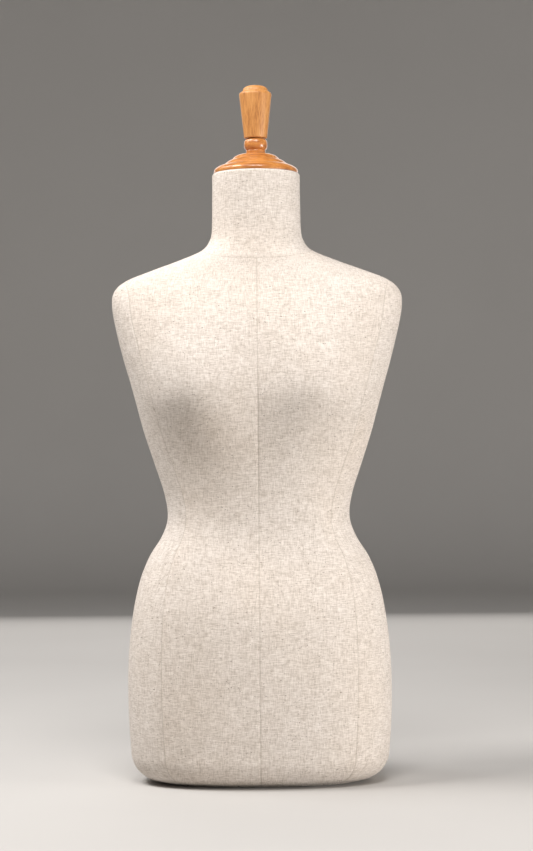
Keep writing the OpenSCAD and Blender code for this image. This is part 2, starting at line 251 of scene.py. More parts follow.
def neck_edge_rows(steps):
    """The rounded top of the neck cover, and the linen turned in over it."""
    angles = np.radians(np.linspace(0, 90, steps + 1)[1:])
    edge = [
        [LAST_STATION, NECK_EDGE_R * (1 - math.cos(a)), NECK_EDGE_R * math.sin(a)]
        for a in angles
    ]
    insets = np.linspace(NECK_EDGE_R, TOP_HEM_INSET, 5)[1:]
    return edge + [[LAST_STATION, inset, NECK_EDGE_R] for inset in insets]


CLOTH_SPACING = 4
CLOTH_STATIONS = crowd(
    wall_stations(0, LAST_STATION, CLOTH_SPACING),
    [ARM_TOP_STATION, NECK_SEAM_STATION], [0.05, 0.12, 0.24])
CLOTH_ROWS = np.array(
    flat_rows(HEM_INSET, LIP_INSET, 5) + flat_rows(LIP_INSET, LOWER_EDGE_R, 4)
    + lower_edge_rows(16) + wall_rows(CLOTH_STATIONS) + neck_edge_rows(8), float)
SEAM_OFFSETS = [0.03, 0.07, 0.15]
SHELL_ROWS = np.array(
    flat_rows(LIP_INSET, LOWER_EDGE_R, 2) + lower_edge_rows(8)
    + wall_rows(wall_stations(0, LAST_STATION, 9)), float)
STRIP_ROWS = np.array(
    wall_rows(wall_stations(STRIP_FIRST_STATION, STRIP_LAST_STATION, 9)), float)


def row_at(s):
    """The first cloth row at or above a station."""
    on_wall = (CLOTH_ROWS[:, 1] == 0) & (CLOTH_ROWS[:, 0] >= s - 1e-6)
    return int(np.argmax(on_wall))


ARM_TOP_ROW = row_at(ARM_TOP_STATION)
NECK_SEAM_ROW = row_at(NECK_SEAM_STATION)


# ---- Meshes ----

ON_AXIS = 1e-6
STRAIGHT_ANGLE = 150


def make_object(name, points, faces, smooth_angle=40):
    """A mesh object from points in millimetres."""
    mesh = bpy.data.meshes.new(name)
    mesh.from_pydata((np.asarray(points) * MM).tolist(), [], faces)
    mesh.validate()
    mesh.shade_smooth()
    mesh.set_sharp_from_angle(angle=math.radians(smooth_angle))
    piece = bpy.data.objects.new(name, mesh)
    bpy.context.scene.collection.objects.link(piece)
    return piece


def skin_faces(holds):
    """Faces of a closed skin over the cells of a grid that it holds: outer layer, inner
    layer and rim. Points of the inner layer come after the outer ones."""
    rows, columns = holds.shape
    width = columns + 1
    under = (rows + 1) * width

    def at(i, j):
        return i * width + j

    def held(i, j):
        return 0 <= i < rows and 0 <= j < columns and holds[i, j]

    faces = []
    for i, j in np.argwhere(holds).tolist():
        a, b, c, d = at(i, j), at(i, j + 1), at(i + 1, j + 1), at(i + 1, j)
        faces += [(a, b, c, d), (a + under, d + under, c + under, b + under)]
        if not held(i - 1, j):
            faces.append((a, a + under, b + under, b))
        if not held(i + 1, j):
            faces.append((d, c, c + under, d + under))
        if not held(i, j - 1):
            faces.append((a, d, d + under, a + under))
        if not held(i, j + 1):
            faces.append((b, b + under, c + under, c))
    return faces


def skin_object(name, outer, inner, holds):
    """A closed skin and, for each of its vertices, the index of its place on the grid."""
    faces = skin_faces(holds)
    used = np.unique(np.array(faces))
    renumber = np.zeros(2 * outer.shape[0] * outer.shape[1], int)
    renumber[used] = np.arange(len(used))
    points = np.concatenate([outer.reshape(-1, 3), inner.reshape(-1, 3)])[used]
    piece = make_object(name, points, renumber[np.array(faces)].tolist(), 60)
    return piece, used % (outer.shape[0] * outer.shape[1])


def revolve(name, profile, segments=128, smooth_angle=30):
    """A closed body turned round +Z from a closed profile of (radius, height)."""
    profile = [(0 if r < ON_AXIS else r, z) for r, z in profile]
    points = []
    rings = []
    for r, z in profile:
        count = segments if r else 1
        rings.append([len(points) + k for k in range(count)])
        turns = [2 * math.pi * k / count for k in range(count)]
        points += [(r * math.cos(a), r * math.sin(a), z) for a in turns]
    faces = []
    for low, high in zip(rings, rings[1:] + rings[:1]):
        if len(low) == len(high) == 1:
            continue
        for k in range(segments):
            corners = [low[k % len(low)], low[(k + 1) % len(low)]]
            corners += [high[(k + 1) % len(high)], high[k % len(high)]]
            faces.append(tuple(dict.fromkeys(corners)))
    return make_object(name, points, faces, smooth_angle)


def ring_faces(rings, per_ring, closed):
    """Faces between rings of points that follow each other, and back to the first ring if
    closed, or else with a flat end on the first and the last."""
    faces = []
    for i in range(rings if closed else rings - 1):
        low, high = i * per_ring, (i + 1) % rings * per_ring
        for k in range(per_ring):
            after = (k + 1) % per_ring
            faces.append((low + k, low + after, high + after, high + k))
    if not closed:
        faces.append(tuple(reversed(range(per_ring))))
        faces.append(tuple(range((rings - 1) * per_ring, rings * per_ring)))
    return faces


def bend(a, b, c, steps=12):
    """A quadratic curve from a to c that leans towards b, without its first point."""
    a, b, c = (np.array(p, float) for p in (a, b, c))
    ts = [k / steps for k in range(1, steps + 1)]
    return [tuple((1 - t) ** 2 * a + 2 * t * (1 - t) * b + t * t * c) for t in ts]


def soften(profile, radius, steps=4):
    """The closed profile with each sharp corner rounded, except those on the axis."""
    corners = [np.array(p, float) for p in profile]
    softened = []
    earlier, later = corners[-1:] + corners[:-1], corners[1:] + corners[:1]
    for before, corner, after in zip(earlier, corners, later):
        back, ahead = before - corner, after - corner
        lengths = np.linalg.norm(back), np.linalg.norm(ahead)
        turn = np.dot(back, ahead) / (lengths[0] * lengths[1])
        if corner[0] < ON_AXIS or turn < math.cos(math.radians(STRAIGHT_ANGLE)):
            softened.append(tuple(corner))
            continue
        reach = min(radius, 0.4 * min(lengths))
        start = corner + back / lengths[0] * reach
        end = corner + ahead / lengths[1] * reach
        softened.append(tuple(start))
        softened += bend(start, corner, end, steps)
    return softened


# ---- Materials ----

def new_material(name, **constants):
    """A material, its node tree and its shader, with constants on the shader's sockets."""
    material = bpy.data.materials.new(name)
    material.use_nodes = True
    shader = material.node_tree.nodes["Principled BSDF"]
    for socket, value in constants.items():
        shader.inputs[socket.replace("_", " ")].default_value = value
    return material, material.node_tree, shader


def add(tree, kind, inputs=(), **properties):
    """A node of that kind. inputs maps socket names or numbers to values or links."""
    node = tree.nodes.new(kind)
    for key, value in properties.items():
        setattr(node, key, value)
    for key, value in dict(inputs).items():
        if isinstance(value, bpy.types.NodeSocket):
            tree.links.new(value, node.inputs[key])
        else:
            node.inputs[key].default_value = value
    return node


def math_node(tree, operation, *values):
    return add(tree, "ShaderNodeMath", enumerate(values), operation=operation).outputs[0]


def stretched_noise(tree, coordinates, size, detail=2.0, offset=0.0, roughness=0.5):
    """Noise from 0 to 1 whose blots are about size (x, y, z) in metres."""
    placed = add(tree, "ShaderNodeMapping", {
        "Vector": coordinates, "Location": (offset, offset, offset),
        "Scale": tuple(1 / s for s in size)})
    texture = add(tree, "ShaderNodeTexNoise", {
        "Vector": placed.outputs[0], "Scale": 1.0, "Detail": detail, "Roughness": roughness})
    return texture.outputs["Fac"]


def spread(tree, value, low, high, to_low=0.0, to_high=1.0):
    """The value from low..high mapped onto to_low..to_high and clamped."""
    node = add(tree, "ShaderNodeMapRange", {
        "Value": value, "From Min": low, "From Max": high,
        "To Min": to_low, "To Max": to_high})
    return node.outputs[0]


def ramp(tree, value, stops):
    """A colour for the value: stops are (position, (r, g, b))."""
    node = add(tree, "ShaderNodeValToRGB", {"Fac": value})
    elements = node.color_ramp.elements
    while len(elements) < len(stops):
        elements.new(0.5)
    for element, (position, colour) in zip(elements, stops):
        element.position = position
        element.color = (*colour, 1)
    return node.outputs["Color"]


def mix(tree, factor, a, b, mode="MIX"):
    """Colour a blended with b by the factor. a and b are links or (r, g, b)."""
    a, b = (c if isinstance(c, bpy.types.NodeSocket) else (*c, 1) for c in (a, b))
    node = add(tree, "ShaderNodeMix", {0: factor, 6: a, 7: b}, data_type="RGBA", blend_type=mode)
    return node.outputs[2]


def bump(tree, height, distance, strength=1.0, normal=None):
    """A normal from a height; distance is in metres."""
    inputs = {"Height": height, "Distance": distance, "Strength": strength}
    if normal is not None:
        inputs["Normal"] = normal
    return add(tree, "ShaderNodeBump", inputs).outputs[0]


def surface_position(tree):
    return add(tree, "ShaderNodeTexCoord").outputs["Object"]


def plain_weave(tree, coordinates, pitch):
    """Height from 0 to 1 of yarns that pass over and under each other."""
    parts = add(tree, "ShaderNodeSeparateXYZ", {0: coordinates}).outputs
    waves = []
    for axis in (0, 1):
        turns = math_node(tree, "MULTIPLY", parts[axis], math.pi / pitch)
        waves.append(math_node(tree, "SINE", turns))
    crossing = math_node(tree, "MULTIPLY", waves[0], waves[1])
    over = spread(tree, crossing, -0.6, 0.6)
    warp = math_node(tree, "MULTIPLY", math_node(tree, "ABSOLUTE", waves[0]), over)
    under = math_node(tree, "SUBTRACT", 1.0, over)
    weft = math_node(tree, "MULTIPLY", math_node(tree, "ABSOLUTE", waves[1]), under)
    return math_node(tree, "MAXIMUM", warp, weft)


YARN_PITCH = 0.0006


def linen_material():
    """Unbleached linen: a plain weave with slubs, dark flecks and soft uneven tone, with painted
    shade between the yarns and along the seams.
    """
    material, tree, shader = new_material(
        "linen", Roughness=0.9, Sheen_Weight=0.08, Sheen_Roughness=0.45,
        Specular_IOR_Level=0.2)
    cloth = add(tree, "ShaderNodeUVMap", uv_map="cloth").outputs[0]
    drift = add(tree, "ShaderNodeTexNoise", {"Vector": cloth, "Scale": 90.0, "Detail": 1.0})
    small = add(tree, "ShaderNodeVectorMath", {0: drift.outputs["Color"], "Scale": 0.0007},
                operation="SCALE").outputs[0]
    yarns = add(tree, "ShaderNodeVectorMath", {0: cloth, 1: small}, operation="ADD").outputs[0]
    weave = plain_weave(tree, yarns, YARN_PITCH)
    weft_tone = stretched_noise(tree, yarns, (0.008, 0.0010, 1), 4.0, 1.7, 0.6)
    warp_tone = stretched_noise(tree, yarns, (0.0010, 0.009, 1), 4.0, 5.3, 0.6)
    thread_tone = math_node(tree, "MULTIPLY_ADD", weft_tone, 0.55,
                            math_node(tree, "MULTIPLY", warp_tone, 0.45))
    colour = ramp(tree, spread(tree, thread_tone, 0.36, 0.62), [
        (0.0, (0.50, 0.435, 0.375)), (0.5, (0.71, 0.643, 0.582)), (1.0, (0.87, 0.81, 0.752))])
    weft_lumps = stretched_noise(tree, yarns, (0.007, 0.0013, 1), 2.0, 9.1)
    warp_lumps = stretched_noise(tree, yarns, (0.0013, 0.007, 1), 2.0, 3.9)
    slubs = math_node(tree, "MAXIMUM", spread(tree, weft_lumps, 0.63, 0.73),
                      spread(tree, warp_lumps, 0.64, 0.74))
    colour = mix(tree, math_node(tree, "MULTIPLY", slubs, 0.5), colour, (0.36, 0.29, 0.235))
    flecks = spread(tree, stretched_noise(tree, cloth, (0.0030, 0.0019, 1), 1.0, 12.4), 0.71, 0.76)
    colour = mix(tree, math_node(tree, "MULTIPLY", flecks, 0.7), colour, (0.15, 0.105, 0.075))
    patches = spread(tree, stretched_noise(tree, cloth, (0.03, 0.022, 1), 4.0, 7.7), 0.3, 0.7)
    colour = mix(tree, patches, colour, (0.95, 0.945, 0.935), "MULTIPLY")
    warmth = stretched_noise(tree, cloth, (0.13, 0.16, 1), 2.0, 2.2)
    colour = mix(tree, spread(tree, warmth, 0.35, 0.7), colour, (1.0, 0.98, 0.955), "MULTIPLY")
    # Painted shade between the yarns: the low parts of the weave are darkened in the colour.
    weave_gap_shade = spread(tree, weave, 0.0, 0.6, 0.72, 1.0)
    weave_gap_shade_colour = add(tree, "ShaderNodeCombineColor", {0: weave_gap_shade, 1: weave_gap_shade, 2: weave_gap_shade}).outputs[0]
    colour = mix(tree, 0.8, colour, weave_gap_shade_colour, "MULTIPLY")
    seam = add(tree, "ShaderNodeAttribute", attribute_name="seam").outputs["Fac"]
    # Painted shade along the seams: the colour darkens towards dark brown within about a millimetre
    # of a seam.
    seam_shade = spread(tree, seam, 0.2, 1.2, 0.3, 0.0)
    colour = mix(tree, seam_shade, colour, (0.30, 0.25, 0.20))
    tree.links.new(colour, shader.inputs["Base Color"])
    tree.links.new(spread(tree, slubs, 0, 1, 0.94, 0.82), shader.inputs["Roughness"])
    yarn_height = math_node(tree, "ADD", thread_tone, math_node(tree, "MULTIPLY", slubs, 0.6))
    thick = bump(tree, yarn_height, 0.0005, 0.55)
    tree.links.new(bump(tree, weave, 0.00012, 0.6, thick), shader.inputs["Normal"])
    return material


def wood_material(name, dark, middle, light, grain, **finish):
    """Turned wood: fibres along the longest side of grain, darker rings, fine pores, and a painted
    highlight on sharp edges.
    """
    material, tree, shader = new_material(name, **finish)
    place = surface_position(tree)
    wander = add(tree, "ShaderNodeTexNoise", {"Vector": place, "Scale": 22.0, "Detail": 2.0})
    shift = add(tree, "ShaderNodeVectorMath", {0: wander.outputs["Color"], "Scale": 0.004},
                operation="SCALE").outputs[0]
    bent = add(tree, "ShaderNodeVectorMath", {0: place, 1: shift}, operation="ADD").outputs[0]
    fibre = stretched_noise(tree, bent, grain, 5.0, 0.4, 0.62)
    wide = stretched_noise(tree, bent, tuple(4.5 * g for g in grain), 2.0, 3.1)
    tone = math_node(tree, "MULTIPLY_ADD", fibre, 0.6, math_node(tree, "MULTIPLY", wide, 0.4))
    colour = ramp(tree, spread(tree, tone, 0.33, 0.67), [(0.0, dark), (0.5, middle), (1.0, light)])
    pore_size = tuple(0.35 * g for g in grain)
    pores = spread(tree, stretched_noise(tree, bent, pore_size, 1.0, 8.8), 0.64, 0.74)
    colour = mix(tree, math_node(tree, "MULTIPLY", pores, 0.45), colour, dark)
    # Painted highlight: sharp convex edges are lightened towards the light wood colour.
    edge_highlight = spread(tree, add(tree, "ShaderNodeNewGeometry").outputs["Pointiness"], 0.52, 0.6)
    colour = mix(tree, math_node(tree, "MULTIPLY", edge_highlight, 0.4), colour, light)
    tree.links.new(colour, shader.inputs["Base Color"])
    rough = shader.inputs["Roughness"].default_value
    tree.links.new(spread(tree, fibre, 0.3, 0.7, rough + 0.08, rough - 0.06),
                   shader.inputs["Roughness"])
    tree.links.new(bump(tree, tone, 0.0004, 0.35), shader.inputs["Normal"])
    return material


def oiled_wood_material():
    return wood_material(
        "oiled_wood", (0.32, 0.115, 0.026), (0.56, 0.245, 0.066), (0.70, 0.36, 0.125),
        (0.0012, 0.0012, 0.06), Roughness=0.5, Coat_Weight=0.08, Coat_Roughness=0.4)


def varnished_wood_material():
    return wood_material(
        "varnished_wood", (0.27, 0.080, 0.014), (0.52, 0.195, 0.044), (0.67, 0.31, 0.09),
        (0.04, 0.0024, 0.0024), Roughness=0.34, Coat_Weight=0.55, Coat_Roughness=0.16)


def metal_material(name, bright, dull, roughness):
    """Metal with cloudy plating, fine scratches and small stains."""
    material, tree, shader = new_material(name, Metallic=1.0)
    place = surface_position(tree)
    cloud = stretched_noise(tree, place, (0.006, 0.006, 0.006), 4.0, 1.1)
    colour = mix(tree, spread(tree, cloud, 0.35, 0.7), bright, dull)
    blots = stretched_noise(tree, place, (0.0016, 0.0016, 0.0016), 2.0, 6.2)
    stains = spread(tree, blots, 0.62, 0.75)
    stained = tuple(0.45 * c for c in dull)
    colour = mix(tree, math_node(tree, "MULTIPLY", stains, 0.5), colour, stained)
    tree.links.new(colour, shader.inputs["Base Color"])
    scratches = stretched_noise(tree, place, (0.0002, 0.004, 0.002), 2.0, 4.4)
    cloudy = spread(tree, cloud, 0.3, 0.7, roughness - 0.1, roughness + 0.1)
    rough = math_node(tree, "MULTIPLY_ADD", scratches, 0.2, cloudy)
    tree.links.new(rough, shader.inputs["Roughness"])
    tree.links.new(bump(tree, scratches, 0.00004, 0.5), shader.inputs["Normal"])
    return material


def plywood_material():
    """Birch plywood: plies stacked along Z on the edges, and face grain along X."""
    material, tree, shader = new_material("plywood", Roughness=0.7, Specular_IOR_Level=0.3)
    place = surface_position(tree)
    height = add(tree, "ShaderNodeSeparateXYZ", {0: place}).outputs[2]
    ply = math_node(tree, "PINGPONG", height, 0.0014)
    ply = spread(tree, ply, 0.0005, 0.0009)
    grain = stretched_noise(tree, place, (0.05, 0.0016, 0.0016), 4.0, 2.6, 0.6)
    along = ramp(tree, spread(tree, grain, 0.3, 0.7), [
        (0.0, (0.46, 0.29, 0.14)), (0.5, (0.62, 0.44, 0.25)), (1.0, (0.72, 0.55, 0.35))])
    colour = mix(tree, math_node(tree, "MULTIPLY", ply, 0.45), along, (0.36, 0.22, 0.11))
    tree.links.new(colour, shader.inputs["Base Color"])
    tree.links.new(spread(tree, grain, 0.3, 0.7, 0.62, 0.8), shader.inputs["Roughness"])
    tree.links.new(bump(tree, grain, 0.0003, 0.5), shader.inputs["Normal"])
    return material


def paper_material(name, base, fibre_colour, scrap_size):
    """Paper: overlapping scraps of slightly different tone, with loose fibres."""
    material, tree, shader = new_material(name, Roughness=0.85, Specular_IOR_Level=0.25)
    place = surface_position(tree)
    scraps = add(tree, "ShaderNodeTexVoronoi", {"Vector": place, "Scale": 1 / scrap_size})
    tone = add(tree, "ShaderNodeSeparateColor", {0: scraps.outputs["Color"]}).outputs[0]
    colour = mix(tree, tone, tuple(0.82 * c for c in base), base)
    fibres = spread(tree, stretched_noise(tree, place, (0.006, 0.0007, 0.0007), 3.0, 5.5), 0.58, 0.7)
    colour = mix(tree, math_node(tree, "MULTIPLY", fibres, 0.5), colour, fibre_colour)
    tree.links.new(colour, shader.inputs["Base Color"])
    tree.links.new(spread(tree, tone, 0, 1, 0.8, 0.92), shader.inputs["Roughness"])
    edges = math_node(tree, "ADD", tone, math_node(tree, "MULTIPLY", fibres, 0.4))
    tree.links.new(bump(tree, edges, 0.0004, 0.6), shader.inputs["Normal"])
    return material


def stage_material():
    """A pale matt studio floor with a barely uneven tone."""
    material, tree, shader = new_material("stage", Roughness=0.85, Specular_IOR_Level=0.2)
    cloud = stretched_noise(tree, surface_position(tree), (0.5, 0.5, 0.5), 3.0, 0.9)
    colour = mix(tree, cloud, (0.50, 0.485, 0.465), (0.54, 0.525, 0.505))
    tree.links.new(colour, shader.inputs["Base Color"])
    return material


# ---- Linen panels ----

def sewn_edge(holds):
    """Which grid points are on the panel's sewn edges, and which it uses at all."""
    rows, columns = holds.shape
    count = np.zeros((rows + 1, columns + 1), int)
    for di in (0, 1):
        for dj in (0, 1):
            count[di:rows + di, dj:columns + dj] += holds
    edge = (count > 0) & (count < 4)
    edge[0] = edge[-1] = False
    return edge, count > 0


CLOTH_BUMPS = ((58, 0.35), (21, 0.12))
SEAM_DEPTH = 0.5
SEAM_WIDTH = 1.15
PUCKER = 0.16
PUCKER_REACH = 9
PUCKER_LENGTH = 8
NO_SEAM = 99


def cloth_offset(point, seam_distance):
    """How far the linen stands out (+) or in (-) at a point, in mm."""
    place = Vector(point)
    offset = sum(size * noise.noise(place / length) for length, size in CLOTH_BUMPS)
    offset -= SEAM_DEPTH * math.exp(-(seam_distance / SEAM_WIDTH) ** 2)
    return offset + (
        PUCKER * noise.noise(place / PUCKER_LENGTH) * math.exp(-seam_distance / PUCKER_REACH)
    )


def seam_distances(points, sewn):
    tree = kdtree.KDTree(len(points[sewn]))
    for k, p in enumerate(points[sewn]):
        tree.insert(p, k)
    tree.balance()
    flat = points.reshape(-1, 3)
    return np.array([tree.find(p)[2] for p in flat]).reshape(points.shape[:2])


def arc_lengths(points, axis):
    steps = np.linalg.norm(np.diff(points, axis=axis), axis=-1)
    pad = [(1, 0), (0, 0)] if axis == 0 else [(0, 0), (1, 0)]
    return np.pad(np.cumsum(steps, axis=axis), pad)


def level_lengths(points, up):
    """Lengths up the cloth whose lines stay level, as the weft does on the form."""
    height, mean_up = points[..., 2].mean(axis=1), up.mean(axis=1)
    rising = np.maximum(np.gradient(height), 1e-3)
    slope = np.clip(np.gradient(mean_up) / rising, 1, 3)
    return mean_up[:, None] + slope[:, None] * (points[..., 2] - height[:, None])


def set_cloth_uv(piece, uv):
    """UV map "cloth": the panel's own width and length, in metres."""
    layer = piece.data.uv_layers.new(name="cloth")
    corners = np.zeros(len(piece.data.loops), int)
    piece.data.loops.foreach_get("vertex_index", corners)
    layer.data.foreach_set("uv", uv[corners].astype(np.float32).ravel())


def linen_piece(name, rows, columns, origin, holds, material, sewn_rows=()):
    """One sewn piece of the cover, over the cells that it holds."""
    points, normals = grid(rows, columns)
    sewn, used = sewn_edge(holds)
    for row in sewn_rows:
        sewn[row] = used[row]
    distance = seam_distances(points, sewn)
    offset = np.array([
        cloth_offset(p, d) for p, d in zip(points.reshape(-1, 3), distance.ravel())
    ]).reshape(distance.shape)
    outer = points + normals * offset[..., None]
    inner = outer - normals * LINEN_T
    piece, place = skin_object(f"{name}_linen", outer, inner, holds)
    across = arc_lengths(points, 1)
    middle = int(np.argmin(abs(columns - origin)))
    across = across - across[:, middle:middle + 1]
    up = arc_lengths(points, 0)
    uv = np.stack([across, level_lengths(points, up)], axis=-1).reshape(-1, 2)[place] * MM
    set_cloth_uv(piece, uv)
    # The distance to the nearest seam, from which the linen material paints its seam shade.
    seam = piece.data.attributes.new("seam", "FLOAT", "POINT")
    seam.data.foreach_set("value", distance.ravel()[place].astype(np.float32))
    piece.data.materials.append(material)
    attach(piece, "torso")
    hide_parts(name)
    return piece


def mirrored(columns):
    return COLUMNS - columns[::-1]


def panel_columns(first, last):
    seams = [first, SIDE - SEAM, SIDE, SIDE + SEAM, BACK]
    base = np.arange(first * 6, last * 6 + 1) / 6
    return crowd(list(base), [s for s in seams if first <= s <= last], SEAM_OFFSETS)


def make_linen(material):
    rows = CLOTH_ROWS[:NECK_SEAM_ROW + 1]
    row_cells = np.arange(len(rows) - 1)[:, None]
    for side in ("left", "right"):
        for half, first, last, origin in (("front", 0, SIDE, 0), ("back", SIDE, BACK, BACK)):
            columns = panel_columns(first, last)
            between = (columns[1:] + columns[:-1]) / 2
            is_side = (abs(between - SIDE) < SEAM)[None, :] & (row_cells < ARM_TOP_ROW)
            holds = ~is_side
            if side == "right":
                columns, holds, origin = mirrored(columns), holds[:, ::-1], COLUMNS - origin
            linen_piece(f"{half}_panel_{side}", rows, columns, origin, holds, material)
        columns = panel_columns(SIDE - SEAM, SIDE + SEAM)
        origin = SIDE
        if side == "right":
            columns, origin = mirrored(columns), COLUMNS - origin
        side_rows = CLOTH_ROWS[:ARM_TOP_ROW + 1]
        holds = np.ones((len(side_rows) - 1, len(columns) - 1), bool)
        linen_piece(f"side_panel_{side}", side_rows, columns, origin, holds, material, (-1,))
    neck_rows = CLOTH_ROWS[NECK_SEAM_ROW:]
    columns = crowd(list(np.arange(-BACK * 5, BACK * 5 + 1) / 5), [-BACK, BACK], SEAM_OFFSETS)
    holds = np.ones((len(neck_rows) - 1, len(columns) - 1), bool)
    linen_piece("neck_cover", neck_rows, columns, 0, holds, material, (0,))


# ---- Shell and strips ----

def inner_skin(name, rows, columns, depth, thickness, material):
    points, normals = grid(rows, np.array(columns, float))
    holds = np.ones((len(rows) - 1, len(columns) - 1), bool)
    outer = points - normals * depth
    piece, _ = skin_object(f"{name}_paper", outer, outer - normals * thickness, holds)
    piece.data.materials.append(material)
    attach(piece, "torso")
    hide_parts(name)


def make_shell(card, paper):
    half = np.arange(-SIDE * 3, SIDE * 3 + 1) / 3
    depth, thickness = LINEN_T + CLOTH_GAP, SHELL_T - CLOTH_GAP
    for name, columns in (("shell_front", half), ("shell_back", half + BACK)):
        inner_skin(name, SHELL_ROWS, columns, depth, thickness, card)
    for side, centre in (("left", SIDE), ("right", COLUMNS - SIDE)):
        columns = centre + np.linspace(-2, 2, 13)
        inner_skin(f"joint_strip_{side}", STRIP_ROWS, columns, LINEN_T + SHELL_T, STRIP_T,
                   paper)


# ---- Neck cap and finial ----

STUD_R = 4
CAP_BORE_R = STUD_R + 0.5
CAP_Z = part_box("neck_cap")[0].z / MM
CAP_H = (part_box("neck_cap")[1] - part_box("neck_cap")[0]).z / MM
BRIM_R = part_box("neck_cap")[1].x / MM
BEAD_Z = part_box("finial_bead")[0].z / MM
BEAD_H = (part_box("finial_bead")[1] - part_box("finial_bead")[0]).z / MM
BEAD_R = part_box("finial_bead")[1].x / MM
GRIP_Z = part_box("finial_grip")[0].z / MM
GRIP_TOP_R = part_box("finial_grip")[1].x / MM
GRIP_H = (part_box("finial_grip")[1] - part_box("finial_grip")[0]).z / MM - 12
GRIP_FOOT_R = 15
STUD_IN_GRIP = 38


def turned(name, profile, z, body, material):
    """A turned wooden piece standing at a height, in place of its CAD node."""
    piece = revolve(f"{name}_turned", [(r, z + h) for r, h in soften(profile, 0.5)])
    piece.data.materials.append(material)
    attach(piece, body)
    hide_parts(name)
    return piece


def make_neck_cap(material):
    recess_r, recess_h = BRIM_R - 4.5, 2.5
    brim_top, brim_end = (BRIM_R - 0.4, 4.2), (BRIM_R - 14, 11.6)
    shoulder_foot, shoulder_top = (BRIM_R - 15.2, 13.2), (BRIM_R - 23.5, 18)
    dome_foot, dome_top = (BRIM_R - 25.2, 20.2), (13, CAP_H)
    profile = [(CAP_BORE_R, recess_h), (recess_r, recess_h), (recess_r, 0), (BRIM_R - 0.6, 0)]
    profile += [(BRIM_R, 0.6), (BRIM_R, 2.8), brim_top]
    profile += bend(brim_top, (BRIM_R - 3, 8.8), brim_end) + [shoulder_foot]
    profile += bend(shoulder_foot, (BRIM_R - 18.5, 16.4), shoulder_top) + [dome_foot]
    profile += bend(dome_foot, (BRIM_R - 29.5, CAP_H - 0.6), dome_top) + [(CAP_BORE_R, CAP_H)]
    turned("neck_cap", profile, CAP_Z, "cap", material)


def make_finial_bead(material):
    collar_r = BEAD_R - 2.6
    collar_top, groove = (collar_r, 3.2), (BEAD_R - 3.2, 4.8)
    belly, shoulder = (BEAD_R, 11.5), (BEAD_R - 3.8, 19.2)
    spigot_r = BEAD_R - 4.7
    profile = [(STUD_R, 0), (collar_r - 0.4, 0), (collar_r, 0.4), collar_top]
    profile += bend(collar_top, (collar_r, 4.2), groove)
    profile += bend(groove, (BEAD_R, 6.5), belly)
    profile += bend(belly, (BEAD_R, 18.4), shoulder)
    profile += [(spigot_r, shoulder[1]), (spigot_r, BEAD_H), (STUD_R, BEAD_H)]
    turned("finial_bead", profile, BEAD_Z, "finial", material)


def make_finial_grip(material):
    button_r = GRIP_TOP_R - 4.6
    button_foot, ledge = (button_r, GRIP_H + 5), (GRIP_TOP_R, GRIP_H - 0.8)
    ledge_end = (GRIP_TOP_R - 1, GRIP_H + 2.2)
    profile = [(STUD_R, 0), (GRIP_FOOT_R - 0.8, 0), (GRIP_FOOT_R, 0.8), ledge]
    profile += bend(ledge, (GRIP_TOP_R, GRIP_H + 1), ledge_end)
    profile += [(button_r + 0.6, GRIP_H + 4.2), button_foot]
    profile += bend(button_foot, (button_r - 0.5, GRIP_H + 12), (0, GRIP_H + 12), 20)
    profile += [(0, STUD_IN_GRIP), (STUD_R, STUD_IN_GRIP)]
    turned("finial_grip", profile, GRIP_Z, "finial", material)


THREAD_PITCH = 1.25
THREAD_DEPTH = 0.65
THREAD_TURNS = 24
GROOVE_W = 1.25


def make_finial_stud(material):
    """The stud with a real screw thread on its lower end."""
    low, high = (corner.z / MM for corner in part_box("finial_stud"))
    segments, per_turn, chamfer = 48, 10, 0.4
    thread_top = low + THREAD_TURNS * THREAD_PITCH
    heights = list(np.linspace(low, thread_top, THREAD_TURNS * per_turn + 1)) + [high]
    points = []
    for z in heights:
        for k in range(segments):
            turn = k / segments
            phase = ((z - low) / THREAD_PITCH - turn) % 1
            groove = min(1, max(0, GROOVE_W - abs(phase - 0.5) * 4))
            run = min(1, (z - low) / THREAD_PITCH, max(0, (thread_top - z) / THREAD_PITCH))
            r = STUD_R - THREAD_DEPTH * groove * run - chamfer * (z == low)
            points.append((r * math.cos(2 * math.pi * turn), r * math.sin(2 * math.pi * turn), z))
    piece = make_object("finial_stud_threaded", points, ring_faces(len(heights), segments, False), 50)
    piece.data.materials.append(material)
    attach(piece, "finial")
    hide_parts("finial_stud")


# ---- Base ----

def foot(inset, angles):
    """Points of the foot's outline, moved in by an inset."""
    half, front, back, squareness = STATIONS[0][1:5]
    sine, cosine = np.sin(angles), np.cos(angles)
    depth = np.where(sine < 0, front, back)
    return np.stack([(half - inset) * power(cosine, squareness),
                     (depth - inset) * power(sine, squareness)], axis=-1)


COVER_INSET = LOWER_EDGE_R + 5
COVER_OPENING_R = 34
COVER_COLUMNS = 320
COVER_ROWS = 44
TACK_COUNT = 8
TACK_INSET = HEM_INSET + 5
TACK_HEAD_R = 4
TACK_HEAD_T = 1
DIMPLE_EDGE = 1.5
COVER_WRINKLE = 0.12
WRINKLE_LENGTH = 23


